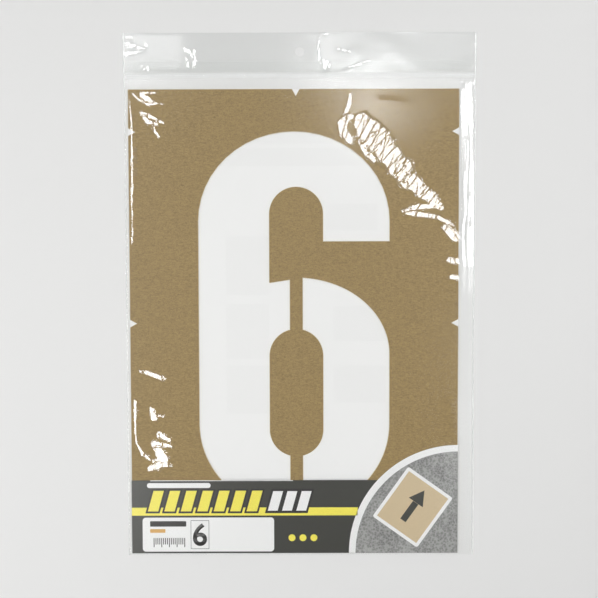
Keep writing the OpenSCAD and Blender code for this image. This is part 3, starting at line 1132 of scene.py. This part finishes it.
class STENCIL_OT_bag(bpy.types.Operator):
    """Front and back films of the bag, with their wrinkles"""
    bl_idname = "stencil.bag"
    bl_label = "Film bag"

    def execute(self, context):
        settings = context.scene.stencil_film
        film = film_material("Clear film", settings, settings.gloss)
        front = refined_sheet("bag_front_film", POCKET_LOW, POCKET_HIGH, FRONT_PITCH,
                              ((front_busy, 2), (front_finest, 1)), film)
        shape_film(front, lambda x, y: pocket_level(x, y) + front_wrinkles(x, y, settings.wrinkles),
                   front_crinkle)
        crush_film(front, film_material("Crushed film", settings, settings.crushed_gloss))
        thicken(front, settings.thickness, 1.0)
        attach(front, "bag")
        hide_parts("bag_front_panel", "bag_left_margin", "bag_right_margin",
                    "bag_bottom_fold")
        lying = film_material("Lying film", settings, settings.lying_gloss)
        back = mesh_object("bag_back_film", flat_grid(*BACK_CELLS, POCKET_LOW, POCKET_HIGH), lying)
        shape_film(back, lambda x, y: 0.02 + 0.02 * np.sin(x / 9 + y / 21) * np.sin(y / 13),
                   lambda x, y: LYING_CRINKLE)
        thicken(back, settings.thickness, 1.0)
        clear_of_light(front, back)
        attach(back, "bag")
        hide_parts("bag_back_panel")
        return {"FINISHED"}


# Level of the bag's beads, how far fused film lies under the header's front ply, and the height of
# a bead at its outer edge, in millimetres
BEAD_LEVEL = 0.10
FUSED_DROP = 0.02
BEAD_HEIGHT = 0.3
# Length at the bag's mouth over which its beads rise to the header
BEAD_RISE = 8


class STENCIL_OT_seams(bpy.types.Operator):
    """Melted beads along the sides of the bag and the header"""
    bl_idname = "stencil.seams"
    bl_label = "Side seams"

    def execute(self, context):
        settings = context.scene.stencil_film
        fused = film_material("Fused film", settings, settings.crushed_gloss, body=0.22)
        for side, name in ((-1, "left"), (1, "right")):
            self.bead(f"{name}_seam_bead", side, POCKET_LOW.y, POCKET_HIGH.y, BEAD_LEVEL,
                      fused, settings, "bag", f"{name}_side_seam")
            self.bead(f"header_{name}_bead", side, PLY_LOW.y, PLY_HIGH.y, PLY_LOW.z / MM - FUSED_DROP,
                      fused, settings, "header", f"header_{name}_seam")
        return {"FINISHED"}

    def bead(self, name, side, y0, y1, level, fused, settings, body, node):
        """One bead, nicked where the film was cut and melted."""
        low, high = millimetres(SEAM_LOW, SEAM_HIGH)
        inner, outer = sorted((side * abs(low[0]), side * abs(high[0])))
        rows = int((y1 - y0) / BEAD_PITCH) - 1
        bm = flat_grid(BEAD_COLUMNS, rows, (inner * MM, y0), (outer * MM, y1))
        bead = mesh_object(name, bm, fused)

        def height(x, y):
            across = (np.abs(x) - abs(high[0])) / (abs(low[0]) - abs(high[0]))
            nick = 0.08 * np.sin(y * 2.3) * np.sin(y * 0.71 + 1.0) + 0.06 * np.sin(y * 5.1)
            lift = 0.0
            if body == "bag":
                rise = PLY_LOW.z / MM - BEAD_LEVEL - FUSED_DROP
                lift = rise * step(y1 / MM - BEAD_RISE, y1 / MM, y)
            return level + lift + np.maximum(0.0, BEAD_HEIGHT + 2.0 * nick) * across
        shape_film(bead, height, lambda x, y: BEAD_CRINKLE)
        thicken(bead, settings.thickness, 1.0)
        clear_of_light(bead)
        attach(bead, body)
        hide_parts(node)


# Knurled dots of the weld: half width of their row, height and pitch, in millimetres
KNURL_WIDTH = 0.8
KNURL_HEIGHT = 0.13
KNURL_PITCH = 2.5
# Place and height of the lines beside the dots, and their half width
WELD_LINES = ((1.9, 0.06), (-1.9, 0.04))
LINE_WIDTH = 0.35
# Gloss and wrinkles of the header's back ply, as shares of the front ply's
INNER_GLOSS = 0.6
INNER_WRINKLES = 0.35


class STENCIL_OT_header(bpy.types.Operator):
    """Two plies of the header with the hang hole, and the knurled weld under them"""
    bl_idname = "stencil.header"
    bl_label = "Header"

    def execute(self, context):
        settings = context.scene.stencil_film
        film = film_material("Header film", settings, settings.gloss, tint=settings.header_tint)
        front = self.ply("header_front_film", film, PLY_PITCH)
        shape_film(front, lambda x, y: PLY_LOW.z / MM + header_wrinkles(x, y, settings.wrinkles),
                   header_crinkle)
        crush_film(front, film_material("Crushed header film", settings, settings.crushed_gloss,
                                        tint=settings.header_tint))
        thicken(front, settings.thickness, 1.0)
        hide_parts("header_front_ply")
        inner = film_material("Inner header film", settings, INNER_GLOSS * settings.gloss,
                              tint=settings.header_tint)
        back = self.ply("header_back_film", inner, BACK_PLY_PITCH)
        shape_film(back, lambda x, y: BACK_PLY_LEVEL / MM
                   + INNER_WRINKLES * header_wrinkles(x, y, settings.wrinkles), header_crinkle)
        thicken(back, settings.thickness, 1.0)
        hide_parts("header_back_ply")
        clear_of_light(front, back)
        for ply in (front, back):
            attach(ply, "header")
        self.weld(settings)
        return {"FINISHED"}

    def ply(self, name, film, pitch):
        """Flat ply with the hang hole in it."""
        bm = flat_grid(int((PLY_HIGH.x - PLY_LOW.x) / pitch), int((PLY_HIGH.y - PLY_LOW.y) / pitch),
                       PLY_LOW, PLY_HIGH)
        hole = Vector((HOLE_X, HOLE_Y, 0))
        inside = [v for v in bm.verts if (v.co - hole).length < HOLE_RADIUS + HOLE_COLLAR]
        bmesh.ops.delete(bm, geom=inside, context="VERTS")
        rim = [e for e in bm.edges if e.is_boundary
               and all((v.co - hole).length < 3 * HOLE_RADIUS for v in e.verts)]
        ring = bmesh.ops.create_circle(bm, cap_ends=False, segments=32, radius=HOLE_RADIUS,
                                       matrix=Matrix.Translation(hole))
        circle = list({e for v in ring["verts"] for e in v.link_edges})
        bmesh.ops.triangle_fill(bm, use_beauty=True, use_dissolve=False, edges=rim + circle)
        face_up(bm)
        return mesh_object(name, bm, film)

    def weld(self, settings):
        """Welded band with its row of knurled dots."""
        fused = film_material("Weld film", settings, settings.gloss, body=0.10)
        band = mesh_object("header_weld_band", flat_grid(*WELD_CELLS, WELD_LOW, WELD_HIGH), fused)
        middle = (WELD_LOW.y + WELD_HIGH.y) / 2 / MM

        def height(x, y):
            row = np.exp(-((y - middle) / KNURL_WIDTH) ** 2)
            raised = KNURL_HEIGHT * row * np.cos(math.pi * x / KNURL_PITCH) ** 4
            for place, tall in WELD_LINES:
                raised += tall * np.exp(-((y - middle - place) / LINE_WIDTH) ** 2)
            return PLY_LOW.z / MM - FUSED_DROP + raised
        shape_film(band, height, lambda x, y: WELD_CRINKLE)
        thicken(band, settings.thickness, -1.0)
        clear_of_light(band)
        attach(band, "bag")
        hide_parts("header_weld")


# Thickness of the lip as a share of the film's, so that it stays below the adhesive
LIP_SHARE = 0.6


class STENCIL_OT_lip(bpy.types.Operator):
    """Closing lip behind the header, with its adhesive strip"""
    bl_idname = "stencil.lip"
    bl_label = "Closing lip"

    def execute(self, context):
        settings = context.scene.stencil_film
        film = film_material("Lip film", settings, 0.5 * settings.lying_gloss)
        lip = mesh_object("closing_lip_film", flat_grid(*LIP_CELLS, LIP_LOW, LIP_HIGH), film)
        shape_film(lip, lambda x, y: 0.01 + 0.008 * np.sin(x / 14) * np.sin(y / 5),
                   lambda x, y: LYING_CRINKLE)
        thicken(lip, settings.thickness * LIP_SHARE, 1.0)
        clear_of_light(lip)
        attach(lip, "lip")
        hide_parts("closing_lip")
        glue = film_material("Adhesive", settings, 0.25 * settings.lying_gloss, body=0.02)
        refinish("adhesive_strip", glue)
        return {"FINISHED"}


# How high the walls darken into the ceiling, as shares of straight up
WALL_TOP = (0.2, 0.65)
# Pale patches overhead: tangents from straight up, their half widths, and their share of the sheen
PALE_PATCHES = (
    ((0.117, 0.298), (0.05, 0.042), 8.5),
    ((0.185, 0.302), (0.05, 0.035), 1.6),
    ((0.046, 0.40), (0.017, 0.09), 6.5),
    ((0.12, 0.41), (0.03, 0.075), 0.7),
    ((0.184, 0.41), (0.025, 0.075), 1.0),
    ((0.271, 0.40), (0.04, 0.085), 0.9),
    ((0.17, 0.43), (0.14, 0.055), 0.2),
    ((-0.28, 0.415), (0.04, 0.06), 3.0),
    ((-0.42, 0.45), (0.26, 0.20), 0.45),
    ((0.36, -0.22), (0.11, 0.30), 0.4),
)
# Turn of the camera from straight down in degrees, its lens and its sensor in millimetres
EYE_TURN = (-1.612, 0.077, -0.148)
EYE_LENS = 35
EYE_SENSOR = 36
# Each lamp has its name, its place and size in metres, the setting that holds its brightness, and
# whether it is only mirrored
LAMPS = (
    ("key_lamp", (0.75, 0.4, 1.3), (1.2, 0.6), "key", False),
    ("fill_lamp", (-0.8, -0.4, 1.3), (1.4, 0.7), "fill", False),
    ("right_glint", GLINT, (1.45, 0.52), "glint", True),
    ("left_glint", (-GLINT[0], 0.0, GLINT[2]), (2.1, 0.52), "glint", True),
)
# How far from the pack the table runs into the backdrop, and its level and half size, in metres
TABLE_END = (0.7, 2.6)
TABLE_LEVEL = -0.0004
TABLE_REACH = 8.0


class STENCIL_OT_stage(bpy.types.Operator):
    """Table, lamps, surroundings and camera"""
    bl_idname = "stencil.stage"
    bl_label = "Stage"

    def execute(self, context):
        settings = context.scene.stencil_stage
        scene = context.scene
        self.camera(scene)
        self.table(settings)
        self.surroundings(scene, settings)
        for name, place, size, setting, mirrored in LAMPS:
            self.lamp(name, place, size, getattr(settings, setting), mirrored)
        scene.view_settings.view_transform = "Standard"
        scene.cycles.transparent_max_bounces = 32
        return {"FINISHED"}

    def camera(self, scene):
        """Camera straight above the pack, where the photograph's was."""
        data = bpy.data.cameras.new("camera")
        data.lens = EYE_LENS
        data.sensor_width = EYE_SENSOR
        made = bpy.data.objects.new("camera", data)
        made.location = EYE
        made.rotation_euler = [math.radians(turn) for turn in EYE_TURN]
        scene.collection.objects.link(made)
        scene.camera = made

    def table(self, settings):
        """Pale matt table under the pack, which runs into the backdrop."""
        made, tree, out = material("Table")
        where = own_place(tree)
        cloud = noise(tree, where, 3.0, detail=3.0)
        paler = tuple(min(1.0, part * 1.02) for part in settings.table)
        shader = put(tree, "ShaderNodeBsdfPrincipled", {
            "Base Color": mix_colour(tree, cloud, opaque(settings.table), opaque(paler)),
            "Roughness": 0.7})
        away = put(tree, "ShaderNodeVectorMath", {0: where}, operation="LENGTH").outputs["Value"]
        far = put(tree, "ShaderNodeMapRange", {"Value": away, "From Min": TABLE_END[0],
                                               "From Max": TABLE_END[1]},
                  interpolation_type="SMOOTHSTEP").outputs[0]
        seen = put(tree, "ShaderNodeLightPath").outputs["Is Camera Ray"]
        pale = put(tree, "ShaderNodeEmission", {"Color": (1, 1, 1, 1),
                                                "Strength": settings.backdrop})
        mixed = put(tree, "ShaderNodeMixShader", {0: math_node(tree, "MULTIPLY", far, seen),
                                                  1: shader.outputs[0], 2: pale.outputs[0]})
        tree.links.new(mixed.outputs[0], out.inputs["Surface"])
        bm = bmesh.new()
        bmesh.ops.create_grid(bm, x_segments=1, y_segments=1, size=TABLE_REACH,
                              matrix=Matrix.Translation((0, 0, TABLE_LEVEL)))
        mesh_object("table", bm, made)

    def surroundings(self, scene, settings):
        """Pale walls under a darker ceiling, soft pale patches that the film mirrors, a backdrop."""
        world = bpy.data.worlds.new("surroundings")
        scene.world = world
        world.use_nodes = True
        tree = world.node_tree
        tree.nodes.clear()
        where = put(tree, "ShaderNodeTexCoord").outputs["Generated"]
        split = put(tree, "ShaderNodeSeparateXYZ", {0: where})
        level = put(tree, "ShaderNodeMapRange", {"Value": split.outputs[2], "From Min": WALL_TOP[0],
                                                 "From Max": WALL_TOP[1],
                                                 "To Min": settings.horizon,
                                                 "To Max": settings.zenith},
                    interpolation_type="SMOOTHSTEP").outputs[0]
        for centre, radii, gain in PALE_PATCHES:
            pale = self.patch(tree, split, centre, radii, gain * settings.sheen)
            level = math_node(tree, "ADD", level, pale)
        light = put(tree, "ShaderNodeBackground", {"Color": (1, 1, 1, 1), "Strength": level})
        pale = put(tree, "ShaderNodeBackground", {"Color": (1, 1, 1, 1),
                                                  "Strength": settings.backdrop})
        seen = put(tree, "ShaderNodeLightPath").outputs["Is Camera Ray"]
        mixed = put(tree, "ShaderNodeMixShader", {0: seen, 1: light.outputs[0],
                                                  2: pale.outputs[0]})
        out = put(tree, "ShaderNodeOutputWorld")
        tree.links.new(mixed.outputs[0], out.inputs["Surface"])

    def patch(self, tree, split, centre, radii, brightness):
        """Brightness of a soft oval overhead, placed by its tangents from straight up."""
        up = math_node(tree, "MAXIMUM", split.outputs[2], 0.05)
        squares = []
        for axis in (0, 1):
            tangent = math_node(tree, "DIVIDE", split.outputs[axis], up)
            away = math_node(tree, "SUBTRACT", tangent, centre[axis])
            part = math_node(tree, "DIVIDE", away, radii[axis])
            squares.append(math_node(tree, "MULTIPLY", part, part))
        return put(tree, "ShaderNodeMapRange", {"Value": math_node(tree, "ADD", *squares),
                                                "From Min": 1.0, "From Max": 0.1, "To Min": 0.0,
                                                "To Max": brightness},
                   interpolation_type="SMOOTHSTEP").outputs[0]

    def lamp(self, name, place, size, brightness, mirrored):
        """Soft lamp that faces the pack, which either lights it or is mirrored in the film."""
        data = bpy.data.lights.new(name, "AREA")
        data.shape = "RECTANGLE"
        data.size, data.size_y = size
        data.energy = brightness * math.pi * size[0] * size[1]
        made = bpy.data.objects.new(name, data)
        made.location = place
        made.visible_glossy = mirrored
        made.visible_diffuse = not mirrored
        aim = Vector((0, place[1], 0)) - Vector(place)
        made.rotation_euler = aim.to_track_quat("-Z", "Y").to_euler()
        bpy.context.scene.collection.objects.link(made)


class STENCIL_PT_panel(bpy.types.Panel):
    """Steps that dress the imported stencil"""
    bl_idname = "STENCIL_PT_panel"
    bl_label = "Packed stencil"
    bl_space_type = "VIEW_3D"
    bl_region_type = "UI"
    bl_category = "Stencil"

    def draw(self, context):
        for each in OPERATORS:
            self.layout.operator(each.bl_idname)
        for name in SETTINGS:
            box = self.layout.box()
            held = getattr(context.scene, name)
            for key in held.bl_rna.properties.keys():
                if key not in ("rna_type", "name"):
                    box.prop(held, key)


OPERATORS = (STENCIL_OT_stage, STENCIL_OT_card, STENCIL_OT_insert, STENCIL_OT_label,
             STENCIL_OT_bag, STENCIL_OT_seams, STENCIL_OT_header, STENCIL_OT_lip)
SETTINGS = {
    "stencil_card": CardSettings,
    "stencil_paper": PaperSettings,
    "stencil_film": FilmSettings,
    "stencil_stage": StageSettings,
}


def register():
    """Registers the settings, the operators and the panel."""
    for name, kind in SETTINGS.items():
        bpy.utils.register_class(kind)
        setattr(bpy.types.Scene, name, PointerProperty(type=kind))
    for each in (*OPERATORS, STENCIL_PT_panel):
        bpy.utils.register_class(each)


def unregister():
    """Takes back what register() did."""
    for each in reversed((*OPERATORS, STENCIL_PT_panel)):
        bpy.utils.unregister_class(each)
    for name, kind in SETTINGS.items():
        delattr(bpy.types.Scene, name)
        bpy.utils.unregister_class(kind)


def main():
    """Dresses the part."""
    register()
    bpy.ops.stencil.stage()
    bpy.ops.stencil.card()
    bpy.ops.stencil.insert()
    bpy.ops.stencil.label()
    bpy.ops.stencil.bag()
    bpy.ops.stencil.seams()
    bpy.ops.stencil.header()
    bpy.ops.stencil.lip()


if __name__ == "__main__":
    main()
